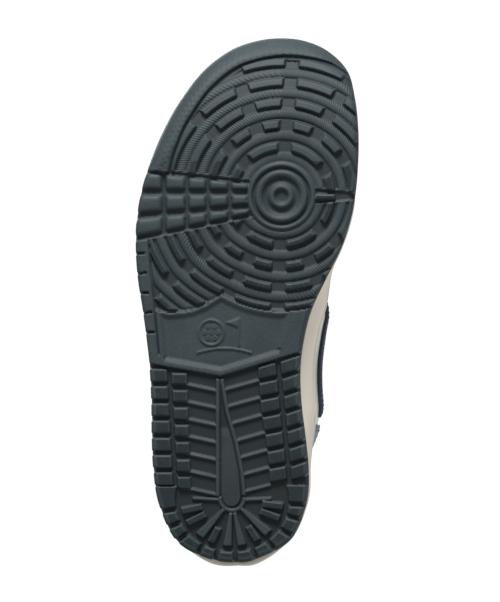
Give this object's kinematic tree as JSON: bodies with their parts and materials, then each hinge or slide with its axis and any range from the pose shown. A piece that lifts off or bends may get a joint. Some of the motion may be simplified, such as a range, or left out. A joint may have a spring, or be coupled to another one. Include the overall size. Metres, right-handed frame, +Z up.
{
  "type": "golf shoe",
  "caption": "Spikeless golf shoe for the right foot: dark rubber outsole with ring and block tread, pale cupsole, low laced leather upper with dark saddle panels and a hinged tongue top",
  "frame": {"origin": "centre of the shoe's footprint box, on the ground the tread rests on", "axes": "+X to the outer side of the foot, +Y to the toe, +Z up"},
  "size_m": [0.1114, 0.2644, 0.1129],
  "materials": {
    "outsole_rubber": "matt dark grey-blue moulded rubber, finely stippled",
    "midsole_rubber": "satin off-white cupsole rubber",
    "sole_foam": "closed-cell foam",
    "air_film": "clear polyurethane film",
    "board": "stitched fibre board",
    "sockliner_cloth": "dark knit over foam",
    "white_leather": "white grained leather",
    "navy_leather": "navy leather",
    "blue_leather": "steel blue leather",
    "stiffener": "heat-formed stiffener sheet",
    "lining_cloth": "grey mesh lining",
    "collar_foam": "open-cell foam",
    "tongue_cloth": "padded white leather and mesh",
    "lace_cloth": "woven white polyester",
    "aglet_plastic": "clear plastic tube"
  },
  "bodies": {
    "shoe": {"outsole": "outsole_rubber", "midsole": "midsole_rubber", "midsole_core": "sole_foam", "air_unit": "air_film", "strobel_board": "board", "sockliner": "sockliner_cloth", "vamp": "white_leather", "toe_overlay": "white_leather", "toe_puff": "stiffener", "vamp_lining": "lining_cloth", "quarter_lateral": "white_leather", "quarter_medial": "white_leather", "quarter_lining_lateral": "lining_cloth", "quarter_lining_medial": "lining_cloth", "eyestay_lateral": "white_leather", "eyestay_medial": "white_leather", "side_panel_lateral": "navy_leather", "side_panel_medial": "navy_leather", "heel_overlay": "blue_leather", "heel_tab": "white_leather", "heel_counter": "stiffener", "collar_foam": "collar_foam", "collar_lining": "lining_cloth", "tongue_base": "tongue_cloth", "lace": "lace_cloth", "aglet_first": "aglet_plastic", "aglet_second": "aglet_plastic"},
    "tongue_top": {"tongue_tip": "tongue_cloth", "tongue_label": "navy_leather"}
  },
  "joints": [
    {"name": "tongue_fold", "type": "hinge", "parent": "shoe", "child": "tongue_top", "pos_m": [0.006, -0.0061, 0.0839], "axis": [-1, 0, 0], "range_deg": [-15, 55], "stiffness_Nm_per_rad": 0.05}
  ]
}
